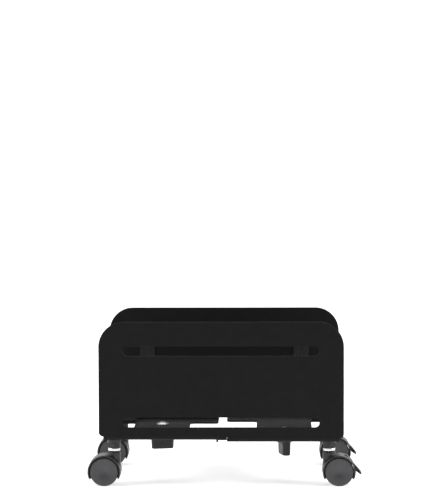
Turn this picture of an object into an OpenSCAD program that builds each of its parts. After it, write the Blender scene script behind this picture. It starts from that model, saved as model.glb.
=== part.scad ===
// Rolling cpu holder: two bent steel brackets that slide on each other to suit the tower's width,
// clamped by two wing knobs and carried by four hooded twin-wheel casters.
// +X runs along the side plates, +Y across the width, +Z up, and the floor is at z = 0.

/* [Side plates] */
// Length of each side plate
plate_len = 274; // [250:1:320]
// Height of the top edge above the floor
plate_top = 185.6; // [175:0.2:230]
// Radius of the two top corners
corner_r = 28; // [10:1:40]
// Radius of the two bottom corners
foot_r = 5; // [2:0.5:8]
// Distance over the outside faces of the two plates
outer_w = 192; // [186:1:230]
// Thickness of the steel sheet
sheet_t = 2; // [1.5:0.1:2.5]
// Outside radius of the bend between plate and base
bend_r = 4; // [3:0.5:5]

/* [Plate slots] */
// Length of a slot over its round ends
slot_len = 220; // [120:1:226]
// Height of a slot
slot_h = 11; // [6:0.5:14]
// Height of the upper slot's middle line above the floor
upper_slot_z = 153; // [130:0.5:160]
// Height of the lower slot's middle line above the floor
lower_slot_z = 73; // [70:0.5:100]

/* [Base] */
// Height of the lower sheet's underside above the floor
base_z = 51; // [51:0.5:60]
// Film of paint and air between the two sheets of the base
sheet_gap = 0.1; // [0.1:0.05:0.5]
// Depth of the full-length flange behind each plate
flange_depth = 42; // [36:1:50]
// Width of each base tongue
tongue_w = 64; // [40:1:70]
// Distance of each tongue's middle line from the middle of the plate
tongue_x = 71; // [60:0.5:80]
// Reach of the upper tongue past the middle of the holder
upper_reach = 42; // [38:1:46]
// Reach of the lower tongue past the middle of the holder
lower_reach = 52; // [48:1:54]
// Radius of the tongue corners
tongue_r = 8; // [4:1:12]
// Width of the relief cut between the two halves of a bracket's base
relief_w = 10; // [6:0.5:12]
// Distance of the relief cut's middle from the middle of the plate
relief_x = 1.3; // [-2:0.1:2]
// Drop of the guide tab beside the relief cut
tab_drop = 3; // [1:0.2:3]
// Length of the guide tab across the holder
tab_len = 8; // [4:1:12]

/* [Clamp] */
// Distance of each clamp bolt past the middle of the holder
bolt_y = 24; // [20:1:28]
// Diameter of the clamp bolt
bolt_d = 6; // [5:0.5:6]
// Travel by which the holder can be made wider
widen = 60; // [40:1:60]
// Travel by which the holder can be made narrower
narrow = 35; // [20:1:35]
// Height of the knob's lowest point above the floor
knob_bottom = 26.4; // [24:0.2:30]
// Diameter of the knob's flange
knob_d = 26.8; // [22:0.2:30]
// Length of the knob's wing
wing_len = 27.6; // [24:0.2:32]
// Thickness of the knob's wing
wing_t = 10; // [8:0.5:12]
// Turn of the left knob's wing away from the plate's direction
left_wing_turn = 15; // [0:1:90]
// Turn of the right knob's wing away from the plate's direction
right_wing_turn = -75; // [-90:1:0]

/* [Rubber pads] */
// Height of the pad tops, which is where the tower stands
pad_top = 59; // [58.5:0.5:62]
// Size of a corner pad along the plate
pad_len = 26; // [20:1:26]
// Distance of a corner pad's middle from the middle of the plate
pad_x = 117; // [117:0.5:118]
// Size of a corner pad across the holder
pad_w = 34; // [24:1:36]
// Thickness of the strips inside the side plates
strip_t = 1.5; // [1:0.1:2]
// Width of a strip
strip_w = 18; // [12:1:30]
// Height of a strip
strip_h = 56; // [30:1:60]
// Distance of the strips from the middle of the plate
strip_x = 92; // [60:1:110]

/* [Casters] */
// Distance of the caster stems from the middle of the plate
stem_x = 121; // [118:0.5:123]
// Distance of the caster stems from the middle of the holder
stem_y = 76; // [70:0.5:78]
// Diameter of the wheels
wheel_d = 32; // [30:1:34]
// Width over the two wheels
wheels_w = 27.2; // [25:0.2:30]
// Width of the hood
hood_w = 28; // [26:0.2:31]
// Distance of the axle from the stem
trail = 11; // [10:0.5:12]
// Outside radius of the hood's fender
fender_r = 18.5; // [17.8:0.1:19.5]
// Thickness of the fender
fender_t = 1.6; // [1.2:0.1:1.6]
// Height of the fender's two lower ends above the floor
fender_end = 8.8; // [6:0.1:12]
// Width of the web between the wheels
web_w = 9.8; // [9:0.1:10.2]
// Diameter of the boss that takes the stem
boss_d = 14.2; // [12:0.1:16]
// Height of the boss's top above the floor
boss_top = 37.6; // [36.5:0.1:38]

/* [Stem stack] */
// Diameter of the stem's thread
thread_d = 8; // [6:1:8]
// Width of the weld nut across its flats
nut_flats = 13; // [12:0.5:14]
// Height of the weld nut
nut_h = 6; // [5:0.5:6.5]
// Diameter of the spacer above the nut
spacer_d = 15.4; // [14:0.2:17]
// Diameter of the stem's collar
collar_d = 13.5; // [11:0.5:14]
// Height of the collar's straight rim
collar_h = 3; // [2:0.2:3.4]
// Diameter of the stem's pin in the hood
pin_d = 7; // [6:0.5:7]

/* [Brake lever] */
// Width of the lever's arm
arm_w = 12; // [10:0.5:14]
// Thickness of the arm
arm_t = 1.9; // [1.5:0.1:1.9]
// Width of the lever's foot pad
brake_pad_w = 14; // [12:0.5:16]
// Depth of the foot pad at its heel
heel_depth = 4; // [3:0.2:4]
// Radius of the foot pad's tip
brake_tip_r = 1.1; // [0.8:0.1:1.2]
// Slope of the lever below level
brake_slope = 50; // [46:1:52]

/* [Hidden] */
$fn = 96;

// Cutting overshoot, and the running clearances of pins and of thin fits
cut = 1;
run = 0.05;
fit = 0.02;

// Heights of the base
level_step = sheet_t + sheet_gap;
upper_z = base_z + level_step;
half_w = outer_w / 2;
half_len = plate_len / 2;
relief_from = relief_x - relief_w / 2;
relief_to = relief_x + relief_w / 2;

// Heights of the stem stack, the same at every corner
spacer_base = base_z - 3;
nut_base = spacer_base - nut_h;
collar_base = nut_base - collar_h;
cone_end = boss_top - 0.4;
socket_floor = 19.5;
pin_end = socket_floor + 0.6;
groove_base = pin_end + 2;
groove_h = 2;
groove_r = pin_d / 2 - 0.9;

// Wheels: axle height, faces and edges measured along the axle from the middle
axle_z = wheel_d / 2;
axle_d = 4;
axle_len = 23.2;
hub_d = 8;
wheel_face = wheels_w / 2;
wheel_inner = web_w / 2 + 0.4;
tread_round = 1.2;
rim_t = 2.1;
disc_t = 1.9;

// Hood
well_r = fender_r - fender_t;
web_hub_r = 8;
tail_angle = asin((axle_z - fender_end) / (fender_r - fender_t / 2));

// Brake lever: angles are measured about the axle, from level and upwards
brake_pivot_angle = 63;
brake_pivot_r = 15.4;
brake_pin_d = 2;
brake_pin_len = web_w - 0.4;
eye_r = 2.2;
eye_w = 5.6;
window_from = -3;
window_to = 66;
eye_slot_to = 72;
notch_from = 17;
notch_to = 57;
notch_r = 13.4;
window_clear = 0.4;

// Lever's outer face: its distance from the axle, and places along it from where it is nearest
arm_face = fender_r - 0.3;
arm_start = -4.9;
knee = 6.5;
heel = 10.5;
brake_pad_start = 12.6;
brake_tip = 17.2;
tip_depth = 1.15;
tip_overlap = 0.1;
rib_count = 5;
rib_r = 0.45;
rib_start = 8.6;
rib_step = 1.5;

// Clamp stack, from the base down
washer_t = 1.6;
washer_d = 18;
knob_top = base_z - washer_t;
knob_rim = knob_top - 5.8;
dome_end = knob_rim - 3.2;
dome_r = 7.6;
insert_d = 9;
insert_len = 11.4;
bolt_end = 33.5;
bolt_head_d = 14;
bolt_head_h = 3;
bolt_hole_end = bolt_end - 3.2;
slot_w = bolt_d + 0.8;

// The levers reach further out than the hoods do, so the plates' middle lies off the origin
brake_reach = brake_tip * cos(brake_slope) + (arm_face - tip_depth) * sin(brake_slope) + brake_tip_r;
frame_x = -(brake_reach - fender_r) / 2;

module placed() {
    translate([frame_x, 0, 0]) children();
}

// Turns a piece of the near bracket into the same piece of the far one
module opposite() {
    rotate([0, 0, 180]) children();
}

// Upright slab in the XZ plane with its outer face at y = 0, growing towards +Y
module slab(size_x, size_z, thick) {
    translate([-size_x / 2, 0, 0]) cube([size_x, thick, size_z]);
}

// Flat sheet between two corners, with rounded free corners at its +Y end
module rounded_sheet(x0, x1, y0, y1, z0, thick, r) {
    translate([x0, y0, z0]) cube([x1 - x0, y1 - y0 - r, thick]);
    translate([x0 + r, y0, z0]) cube([x1 - x0 - 2 * r, y1 - y0, thick]);
    for (x = [x0 + r, x1 - r])
        translate([x, y1 - r, z0]) cylinder(r = r, h = thick);
}

// Long hole with round ends along X, cut through an upright plate
module plate_slot(z) {
    reach = slot_len / 2 - slot_h / 2;
    for (x = [-reach, reach])
        translate([x, -cut, z]) rotate([-90, 0, 0]) cylinder(d = slot_h, h = sheet_t + 2 * cut);
    translate([-reach, -cut, z - slot_h / 2]) cube([2 * reach, sheet_t + 2 * cut, slot_h]);
}

// Rounded bottom corner of a side plate, standing on the bend whose sheet is at z
module plate_foot(side, z) {
    translate([side * (half_len - foot_r), 0, z + bend_r + foot_r])
        rotate([-90, 0, 0]) cylinder(r = foot_r, h = sheet_t);
}

// Upright part of a bracket, from the bends up, with its outer face at y = 0
module side_plate() {
    low = base_z + bend_r;
    shoulder = upper_z + bend_r + foot_r;
    difference() {
        union() {
            translate([0, 0, shoulder]) slab(plate_len, plate_top - corner_r - shoulder, sheet_t);
            translate([0, 0, upper_z + bend_r])
                slab(plate_len - 2 * foot_r, foot_r + cut, sheet_t);
            translate([half_len - 2 * foot_r, 0, low + foot_r])
                cube([2 * foot_r, sheet_t, level_step + cut]);
            plate_foot(-1, upper_z);
            plate_foot(1, base_z);
            translate([0, 0, plate_top - corner_r - cut])
                slab(plate_len - 2 * corner_r, corner_r + cut, sheet_t);
            for (side = [-1, 1])
                translate([side * (half_len - corner_r), 0, plate_top - corner_r])
                    rotate([-90, 0, 0]) cylinder(r = corner_r, h = sheet_t);
            translate([relief_to, 0, low])
                cube([half_len - foot_r - relief_to, sheet_t, level_step + cut]);
            translate([relief_from, 0, upper_z])
                cube([relief_w, sheet_t, bend_r + cut]);
        }
        plate_slot(upper_slot_z);
        plate_slot(lower_slot_z);
    }
}

// Quarter bend along X between an upright plate and a sheet whose underside is at z
module bend(x0, x1, z) {
    translate([x0, 0, z]) difference() {
        cube([x1 - x0, bend_r, bend_r]);
        translate([-cut, bend_r, bend_r]) rotate([0, 90, 0]) difference() {
            cylinder(r = 2 * bend_r, h = x1 - x0 + 2 * cut);
            translate([0, 0, -cut]) cylinder(r = bend_r, h = x1 - x0 + 4 * cut);
        }
        translate([-cut, bend_r, bend_r]) rotate([0, 90, 0])
            cylinder(r = bend_r - sheet_t, h = x1 - x0 + 2 * cut);
    }
}

// Half of the base: flange, tongue and the stem's hole, with the plate's outer face at y = 0
module base_half(side, z, reach) {
    inner = side < 0 ? relief_from : relief_to;
    outer = side * (half_len - foot_r);
    x0 = min(inner, outer);
    x1 = max(inner, outer);
    difference() {
        union() {
            bend(x0, x1, z);
            rounded_sheet(x0, x1, bend_r, flange_depth, z, sheet_t, foot_r);
            rounded_sheet(side * tongue_x - tongue_w / 2, side * tongue_x + tongue_w / 2,
                flange_depth - 2 * foot_r, half_w + reach, z, sheet_t, tongue_r);
        }
        translate([side * stem_x, half_w - stem_y, z - cut])
            cylinder(d = thread_d + 2 * run, h = sheet_t + 2 * cut);
    }
}

// Square hole that keeps the clamp bolt from turning
module square_hole() {
    size = bolt_d + 2 * run;
    translate([-tongue_x - size / 2, half_w + bolt_y - size / 2, upper_z - cut])
        cube([size, size, sheet_t + 2 * cut]);
}

// Long hole in which the other bracket's bolt slides
module travel_slot() {
    y0 = half_w - bolt_y - narrow;
    y1 = half_w - bolt_y + widen;
    for (y = [y0, y1])
        translate([tongue_x, y, base_z - cut]) cylinder(d = slot_w, h = sheet_t + 2 * cut);
    translate([tongue_x - slot_w / 2, y0, base_z - cut]) cube([slot_w, y1 - y0, sheet_t + 2 * cut]);
}

// Tab turned down from the upper flange beside the relief cut
module guide_tab() {
    translate([relief_from - sheet_t, bend_r, upper_z - tab_drop]) cube([sheet_t, tab_len, tab_drop + cut]);
}

module bracket() {
    color([0.12, 0.12, 0.13]) translate([0, -half_w, 0]) difference() {
        union() {
            side_plate();
            base_half(-1, upper_z, upper_reach);
            base_half(1, base_z, lower_reach);
            guide_tab();
        }
        square_hole();
        travel_slot();
    }
}

// The two corners of a bracket: where the sheet lies higher on the left, and lower on the right
module at_corners() {
    for (side = [-1, 1])
        translate([side * stem_x, -stem_y, 0]) children();
}

module weld_nuts() {
    color([0.14, 0.14, 0.15]) at_corners() translate([0, 0, nut_base]) difference() {
        rotate([0, 0, 30]) cylinder(d = nut_flats / cos(30), h = nut_h, $fn = 6);
        translate([0, 0, -cut]) cylinder(d = thread_d + 2 * run, h = nut_h + 2 * cut);
    }
}

module nut_spacer(side, height) {
    translate([side * stem_x, -stem_y, spacer_base]) difference() {
        cylinder(d = spacer_d, h = height);
        translate([0, 0, -cut]) cylinder(d = thread_d + 2 * run, h = height + 2 * cut);
    }
}

module nut_spacers() {
    color([0.14, 0.14, 0.15]) {
        nut_spacer(-1, upper_z - spacer_base);
        nut_spacer(1, base_z - spacer_base);
    }
}

// Pad on one corner of the base, standing on the sheet whose top is at z
module corner_pad(side, z) {
    gap = 1;
    translate([side * pad_x - pad_len / 2, -half_w + bend_r + gap, z])
        cube([pad_len, pad_w, pad_top - z]);
}

module corner_pads() {
    color([0.08, 0.08, 0.08]) {
        corner_pad(-1, upper_z + sheet_t);
        corner_pad(1, base_z + sheet_t);
    }
}

module side_strips() {
    middle_z = (upper_slot_z + lower_slot_z) / 2;
    color([0.08, 0.08, 0.08]) for (side = [-1, 1])
        translate([side * strip_x - strip_w / 2, -half_w + sheet_t, middle_z - strip_h / 2])
            cube([strip_w, strip_t, strip_h]);
}

// Carriage bolt: domed head on the upper sheet, square neck in it, plain shank below
module clamp_bolt() {
    head_z = upper_z + sheet_t;
    neck = bolt_d + 2 * fit;
    dome = (pow(bolt_head_d / 2, 2) + pow(bolt_head_h, 2)) / (2 * bolt_head_h);
    color([0.75, 0.75, 0.77]) translate([-tongue_x, bolt_y, 0]) {
        intersection() {
            translate([0, 0, head_z + bolt_head_h - dome]) sphere(r = dome);
            translate([0, 0, head_z]) cylinder(d = bolt_head_d, h = bolt_head_h);
        }
        translate([-neck / 2, -neck / 2, upper_z]) cube([neck, neck, sheet_t + 0.2]);
        translate([0, 0, bolt_end]) cylinder(d = bolt_d, h = head_z - bolt_end);
    }
}

module clamp_washer() {
    color([0.7, 0.7, 0.72]) translate([-tongue_x, bolt_y, knob_top]) difference() {
        cylinder(d = washer_d, h = washer_t);
        translate([0, 0, -cut]) cylinder(d = bolt_d + 4 * run, h = washer_t + 2 * cut);
    }
}

// Wing knob: round flange, cone under it and a wing with round ends
module knob(turn) {
    color([0.13, 0.13, 0.14]) translate([-tongue_x, bolt_y, 0]) difference() {
        union() {
            translate([0, 0, knob_rim]) cylinder(d = knob_d, h = knob_top - knob_rim);
            translate([0, 0, dome_end]) cylinder(r1 = dome_r, r2 = knob_d / 2, h = knob_rim - dome_end);
            rotate([0, 0, turn]) translate([0, 0, knob_bottom]) {
                wing_h = knob_rim - knob_bottom;
                reach = wing_len / 2 - wing_t / 2;
                for (x = [-reach, reach])
                    translate([x, 0, 0]) cylinder(d = wing_t, h = wing_h - 1);
                translate([-reach, -wing_t / 2, 0]) cube([2 * reach, wing_t, wing_h - 1]);
            }
        }
        translate([0, 0, knob_top - insert_len]) cylinder(d = insert_d, h = insert_len + cut);
        translate([0, 0, bolt_hole_end]) cylinder(d = bolt_d + 0.6, h = knob_top - bolt_hole_end);
    }
}

// Threaded sleeve moulded into the knob
module knob_insert() {
    color([0.75, 0.62, 0.3]) translate([-tongue_x, bolt_y, knob_top - insert_len]) difference() {
        cylinder(d = insert_d - 2 * fit, h = insert_len);
        translate([0, 0, -cut]) cylinder(d = bolt_d + 2 * run, h = insert_len + 2 * cut);
    }
}

// Stem: thread in the nut, collar, cone and a grooved pin in the hood. Its axis is the Z axis.
module stem(top) {
    color([0.78, 0.79, 0.8]) difference() {
        union() {
            translate([0, 0, pin_end]) cylinder(d = pin_d, h = boss_top - pin_end);
            translate([0, 0, cone_end])
                cylinder(r1 = pin_d / 2, r2 = collar_d / 2, h = collar_base - cone_end);
            translate([0, 0, collar_base]) cylinder(d = collar_d, h = collar_h);
            translate([0, 0, nut_base - cut]) cylinder(d = thread_d, h = top - nut_base + cut);
        }
        translate([0, 0, groove_base]) difference() {
            cylinder(d = pin_d + 2 * cut, h = groove_h);
            translate([0, 0, -cut]) cylinder(r = groove_r, h = groove_h + 2 * cut);
        }
    }
}

// Split spring ring that keeps the pin in its socket
module grip_ring() {
    color([0.6, 0.6, 0.62]) translate([0, 0, groove_base + fit]) difference() {
        cylinder(d = pin_d - fit, h = groove_h - 2 * fit);
        translate([0, 0, -cut]) cylinder(r = groove_r + fit, h = groove_h + 2 * cut);
        translate([-pin_d, -0.8, -cut]) cube([pin_d, 1.6, groove_h + 2 * cut]);
    }
}

// Moves a piece drawn about the axle to the axle's place; the wheel points along +X from the stem
module at_axle() {
    translate([trail, 0, axle_z]) rotate([90, 0, 0]) children();
}

// Flat wedge about the axle between two angles, for cutting sectors
module wedge(from, to, reach) {
    mid = (from + to) / 2;
    far = reach / cos((to - from) / 2);
    polygon([[0, 0], far * [cos(from), sin(from)], far * [cos(mid), sin(mid)], far * [cos(to), sin(to)]]);
}

// Sector of a ring, extruded evenly about the caster's middle plane
module sector(r0, r1, from, to, width) {
    linear_extrude(height = width, center = true) difference() {
        intersection() {
            circle(r = r1);
            wedge(from, to, 2 * r1);
        }
        circle(r = r0);
    }
}

// Turns an angle and a radius about the axle into a place in the wheel's plane
function polar(angle, r) = [r * cos(angle), r * sin(angle), 0];

// Hood: fender over both wheels, web between them, boss for the stem
module hood(braked) {
    color([0.22, 0.22, 0.23]) difference() {
        union() {
            at_axle() difference() {
                cylinder(r = fender_r, h = hood_w, center = true);
                translate([-2 * fender_r, fender_end - axle_z - 4 * fender_r, -hood_w])
                    cube([4 * fender_r, 4 * fender_r, 2 * hood_w]);
            }
            at_axle() cylinder(r = web_hub_r, h = web_w, center = true);
            translate([0, 0, axle_z]) cylinder(d = boss_d, h = boss_top - axle_z);
            at_axle() for (angle = [-tail_angle, 180 + tail_angle])
                translate(polar(angle, fender_r - fender_t / 2))
                    cylinder(d = fender_t, h = hood_w, center = true);
        }
        at_axle() for (side = [-1, 1])
            translate([0, 0, side * (web_w / 2 + hood_w)])
                cylinder(r = well_r, h = 2 * hood_w, center = true);
        at_axle() cylinder(d = axle_d + 2 * fit, h = hood_w, center = true);
        translate([0, 0, socket_floor]) cylinder(d = pin_d + 2 * run, h = boss_top);
        translate([0, 0, boss_top - 1])
            cylinder(r1 = pin_d / 2 + run, r2 = pin_d / 2 + 1.2, h = 1 + fit);
        if (braked) brake_cuts();
    }
}

// Window in the fender for the arm, notch in the web for the shoe, slot and bore for the eye
module brake_cuts() {
    at_axle() {
        sector(well_r - 0.4, fender_r + cut, window_from, window_to, arm_w + 2 * window_clear);
        sector(notch_r, fender_r + cut, notch_from, notch_to, web_w + cut);
        sector(brake_pivot_r - eye_r - window_clear, fender_r + cut, notch_to - cut, eye_slot_to,
            eye_w + 2 * window_clear);
        translate(polar(brake_pivot_angle, brake_pivot_r))
            cylinder(d = brake_pin_d + 2 * fit, h = web_w + 2 * cut, center = true);
    }
}

module axle() {
    color([0.7, 0.7, 0.72]) at_axle() cylinder(d = axle_d, h = axle_len, center = true);
}

// Points of a quarter-round edge
function round_edge(centre, r, from, to, steps) =
    [for (i = [0:steps]) let (a = from + (to - from) * i / steps) centre + r * [cos(a), sin(a)]];

// Half of the wheel's section: distance from the axle, then distance from the caster's middle
function wheel_section() = concat(
    [[0, wheel_face]],
    round_edge([axle_z - tread_round, wheel_face - tread_round], tread_round, 90, 0, 6),
    [
        [axle_z, wheel_inner + 0.8], [axle_z - 0.8, wheel_inner],
        [axle_z - rim_t, wheel_inner], [axle_z - rim_t, wheel_face - disc_t],
        [hub_d / 2, wheel_face - disc_t], [hub_d / 2, wheel_inner - 0.2],
        [axle_d / 2 + run, wheel_inner - 0.2], [axle_d / 2 + run, axle_len / 2 + 0.2],
        [0, axle_len / 2 + 0.2]
    ]);

// Wheel on the near side (side = 1) or on the far side (side = -1) of the hood's web
module wheel(side) {
    color([0.28, 0.28, 0.3]) at_axle() mirror([0, 0, side > 0 ? 0 : 1])
        rotate_extrude() polygon(wheel_section());
}

// Depth of the foot pad's lower face, at a place between the heel and the tip
function pad_depth(along) =
    heel_depth + (tip_depth + brake_tip_r - tip_overlap - heel_depth) * (along - heel) / (brake_tip - heel);

// Foot pad's section, from its start to the middle of its tip
pad_section = [
    [brake_pad_start, arm_face], [brake_tip, arm_face - tip_depth + brake_tip_r - tip_overlap],
    [brake_tip, arm_face - pad_depth(brake_tip)], [brake_pad_start, arm_face - pad_depth(brake_pad_start)]
];

// Arm's section, which ends inside the foot pad
arm_section = [
    [arm_start, arm_face], [brake_pad_start, arm_face], [brake_pad_start + 0.5, arm_face - 0.5],
    [brake_pad_start + 0.5, arm_face - pad_depth(brake_pad_start) + 0.5],
    [brake_pad_start, arm_face - pad_depth(brake_pad_start)],
    [heel, arm_face - heel_depth], [knee, arm_face - arm_t], [arm_start, arm_face - arm_t]
];

// Neck from the eye to the arm, in the same directions as the section
eye_turn = brake_pivot_angle + brake_slope;
eye_place = brake_pivot_r * [cos(eye_turn), sin(eye_turn)];
neck = [
    eye_place + [-1.7, 0.9], [arm_start + 0.2, arm_face - 0.4],
    [arm_start + 4, arm_face - 0.4], eye_place + [1.8, -0.7]
];

// Brake lever: eye, neck, arm in the fender's window, ribbed foot pad with a rounded tip
module brake_lever() {
    color([0.1, 0.1, 0.11]) at_axle() rotate([0, 0, -brake_slope]) difference() {
        union() {
            translate(eye_place) cylinder(r = eye_r, h = eye_w, center = true);
            linear_extrude(eye_w, center = true) polygon(neck);
            linear_extrude(arm_w, center = true) polygon(arm_section);
            linear_extrude(brake_pad_w, center = true) polygon(pad_section);
            translate([brake_tip, arm_face - tip_depth, 0])
                cylinder(r = brake_tip_r, h = brake_pad_w, center = true);
            for (i = [1:rib_count])
                translate([rib_start + i * rib_step, arm_face - 0.1, 0])
                    cylinder(r = rib_r, h = arm_w - 1, center = true);
        }
        translate(eye_place)
            cylinder(d = brake_pin_d + 2 * run, h = eye_w + 2 * cut, center = true);
    }
}

module brake_pin() {
    color([0.7, 0.7, 0.72]) at_axle() translate(polar(brake_pivot_angle, brake_pivot_r))
        cylinder(d = brake_pin_d, h = brake_pin_len, center = true);
}

// Puts a caster's piece at one corner, with its wheels pointing outward
module corner(side_x, side_y) {
    placed() translate([side_x * stem_x, side_y * stem_y, 0])
        rotate([0, 0, side_x > 0 ? 0 : 180]) children();
}

module near_bracket() { placed() bracket(); }
module far_bracket() { placed() opposite() bracket(); }
module near_weld_nuts() { placed() weld_nuts(); }
module far_weld_nuts() { placed() opposite() weld_nuts(); }
module near_nut_spacers() { placed() nut_spacers(); }
module far_nut_spacers() { placed() opposite() nut_spacers(); }
module near_corner_pads() { placed() corner_pads(); }
module far_corner_pads() { placed() opposite() corner_pads(); }
module near_side_strips() { placed() side_strips(); }
module far_side_strips() { placed() opposite() side_strips(); }
module left_clamp_bolt() { placed() clamp_bolt(); }
module right_clamp_bolt() { placed() opposite() clamp_bolt(); }
module left_clamp_washer() { placed() clamp_washer(); }
module right_clamp_washer() { placed() opposite() clamp_washer(); }
module left_knob() { placed() knob(left_wing_turn); }
module right_knob() { placed() opposite() knob(right_wing_turn); }
module left_knob_insert() { placed() knob_insert(); }
module right_knob_insert() { placed() opposite() knob_insert(); }

near_bracket();
far_bracket();
near_weld_nuts();
far_weld_nuts();
near_nut_spacers();
far_nut_spacers();
near_corner_pads();
far_corner_pads();
near_side_strips();
far_side_strips();
left_clamp_bolt();
right_clamp_bolt();
left_clamp_washer();
right_clamp_washer();
left_knob();
right_knob();
left_knob_insert();
right_knob_insert();

// The stems' threads end flush with the sheet that they pass through
corner(-1, -1) stem(upper_z + sheet_t);  // near_left_stem
corner(1, -1) stem(base_z + sheet_t);  // near_right_stem
corner(-1, 1) stem(base_z + sheet_t);  // far_left_stem
corner(1, 1) stem(upper_z + sheet_t);  // far_right_stem
corner(-1, -1) grip_ring();  // near_left_grip_ring
corner(1, -1) grip_ring();  // near_right_grip_ring
corner(-1, 1) grip_ring();  // far_left_grip_ring
corner(1, 1) grip_ring();  // far_right_grip_ring
corner(-1, -1) hood(false);  // near_left_hood
corner(1, -1) hood(true);  // near_right_hood
corner(-1, 1) hood(false);  // far_left_hood
corner(1, 1) hood(true);  // far_right_hood
corner(-1, -1) axle();  // near_left_axle
corner(1, -1) axle();  // near_right_axle
corner(-1, 1) axle();  // far_left_axle
corner(1, 1) axle();  // far_right_axle
corner(-1, -1) wheel(-1);  // near_left_front_wheel
corner(1, -1) wheel(1);  // near_right_front_wheel
corner(-1, 1) wheel(-1);  // far_left_front_wheel
corner(1, 1) wheel(1);  // far_right_front_wheel
corner(-1, -1) wheel(1);  // near_left_back_wheel
corner(1, -1) wheel(-1);  // near_right_back_wheel
corner(-1, 1) wheel(1);  // far_left_back_wheel
corner(1, 1) wheel(-1);  // far_right_back_wheel
corner(1, -1) brake_lever();  // near_brake_lever
corner(1, 1) brake_lever();  // far_brake_lever
corner(1, -1) brake_pin();  // near_brake_pin
corner(1, 1) brake_pin();  // far_brake_pin
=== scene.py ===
import math

import bmesh
import bpy
import numpy as np
from mathutils import Matrix, Vector
from mathutils.geometry import delaunay_2d_cdt


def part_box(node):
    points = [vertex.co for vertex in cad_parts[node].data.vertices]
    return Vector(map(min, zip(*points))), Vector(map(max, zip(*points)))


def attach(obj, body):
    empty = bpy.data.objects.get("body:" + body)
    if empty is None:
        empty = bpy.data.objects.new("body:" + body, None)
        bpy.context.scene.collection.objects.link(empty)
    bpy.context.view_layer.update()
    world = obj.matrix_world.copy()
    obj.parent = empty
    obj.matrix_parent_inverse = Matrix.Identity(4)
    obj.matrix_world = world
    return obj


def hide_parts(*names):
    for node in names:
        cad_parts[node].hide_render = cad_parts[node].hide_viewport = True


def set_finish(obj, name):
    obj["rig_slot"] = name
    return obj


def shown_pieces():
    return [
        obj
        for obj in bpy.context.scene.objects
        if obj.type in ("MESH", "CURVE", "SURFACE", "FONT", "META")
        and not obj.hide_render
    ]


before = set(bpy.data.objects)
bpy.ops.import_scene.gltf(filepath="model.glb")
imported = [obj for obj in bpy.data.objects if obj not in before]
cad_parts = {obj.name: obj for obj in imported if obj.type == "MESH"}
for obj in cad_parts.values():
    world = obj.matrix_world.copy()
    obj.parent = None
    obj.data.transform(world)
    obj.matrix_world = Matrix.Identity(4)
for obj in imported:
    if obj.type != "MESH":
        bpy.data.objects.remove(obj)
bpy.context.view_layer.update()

# Lengths below are in millimetres. MM turns them into Blender's metres.
MM = 0.001


# ---------------------------------------------------------------- sizes read from the frame

def box_mm(node):
    """Lowest and highest corner of a CAD node, in millimetres."""
    low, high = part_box(node)
    return np.array(low) / MM, np.array(high) / MM


def middle(node):
    low, high = box_mm(node)
    return (low + high) / 2


def size(node):
    low, high = box_mm(node)
    return high - low


CORNERS = {"near_left": (-1, -1), "near_right": (1, -1), "far_left": (-1, 1), "far_right": (1, 1)}
BRAKED = {"near_right": "near", "far_right": "far"}
CLAMPS = {"left": ("near_frame", 1), "right": ("far_frame", -1)}
SIDES = {"near": ("near_frame", 1), "far": ("far_frame", -1)}

PLATE_LEN = size("near_bracket")[0]
PLATE_MIDDLE = middle("near_bracket")[0]
PLATE_FACE = box_mm("near_bracket")[0][1]
PLATE_TOP = box_mm("near_bracket")[1][2]
HALF_LEN = PLATE_LEN / 2
HALF_W = -PLATE_FACE
STEM_X = middle("near_right_stem")[0] - PLATE_MIDDLE
STEM_Y = -middle("near_right_stem")[1]
TRAIL = middle("near_right_axle")[0] - middle("near_right_stem")[0]
AXLE_Z = middle("near_right_axle")[2]
AXLE_D = size("near_right_axle")[0]
AXLE_LEN = size("near_right_axle")[1]
HOOD_W = size("near_right_hood")[1]
BOSS_TOP = box_mm("near_right_hood")[1][2]
HOOD_LOW = box_mm("near_right_hood")[0][2]
FENDER_R = box_mm("near_right_hood")[1][0] - middle("near_right_axle")[0]
WHEEL_R = size("near_right_front_wheel")[2] / 2
WHEEL_FACE = middle("near_right_axle")[1] - box_mm("near_right_front_wheel")[0][1]
WHEEL_INNER = middle("near_right_axle")[1] - box_mm("near_right_front_wheel")[1][1]
KNOB_D = size("left_knob")[1]
KNOB_TOP = box_mm("left_knob")[1][2]
KNOB_BOTTOM = box_mm("left_knob")[0][2]
BOLT_AXIS = middle("left_clamp_bolt") - np.array([PLATE_MIDDLE, 0, 0])

# Running clearance of a pin in its bore, and the clearance of a pin that is held tight
RUN, FIT = 0.05, 0.02

# Sizes that the boxes don't give, the same as in the CAD
SHEET = 2.0
BASE_Z = box_mm("near_corner_pads")[0][2] - SHEET
LEVEL_STEP = 2.1
BEND_R = 4.0
CORNER_R = 28.0
FOOT_R = 5.0
SLOT_LEN, SLOT_H = 220.0, 11.0
UPPER_SLOT_Z, LOWER_SLOT_Z = 153.0, 73.0
FLANGE_DEPTH = 42.0
TAB_DROP, TAB_LEN = 3.0, 8.0
TONGUE_X, TONGUE_W, TONGUE_R = 71.0, 64.0, 8.0
UPPER_REACH, LOWER_REACH = 42.0, 52.0
RELIEF_X, RELIEF_W = 1.3, 10.0
BOLT_D, SLOT_W = 6.0, 6.8
WIDEN, NARROW = 60.0, 35.0
FENDER_T = 1.6
WEB_W, WEB_HUB_R = 9.8, 8.0
BOSS_D = 14.2
PIN_D, THREAD_D, COLLAR_D = 7.0, 8.0, 13.5
NUT_FLATS, NUT_H = 13.0, 6.0
SPACER_D = 15.4
SPACER_BASE = BASE_Z - 3
NUT_BASE = SPACER_BASE - NUT_H
COLLAR_BASE = NUT_BASE - 3
SOCKET_FLOOR = 19.5
PIN_END = SOCKET_FLOOR + 0.6
WASHER_D, WASHER_T = 18.0, 1.6
INSERT_LEN = 11.4
BOLT_END = 33.5
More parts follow.
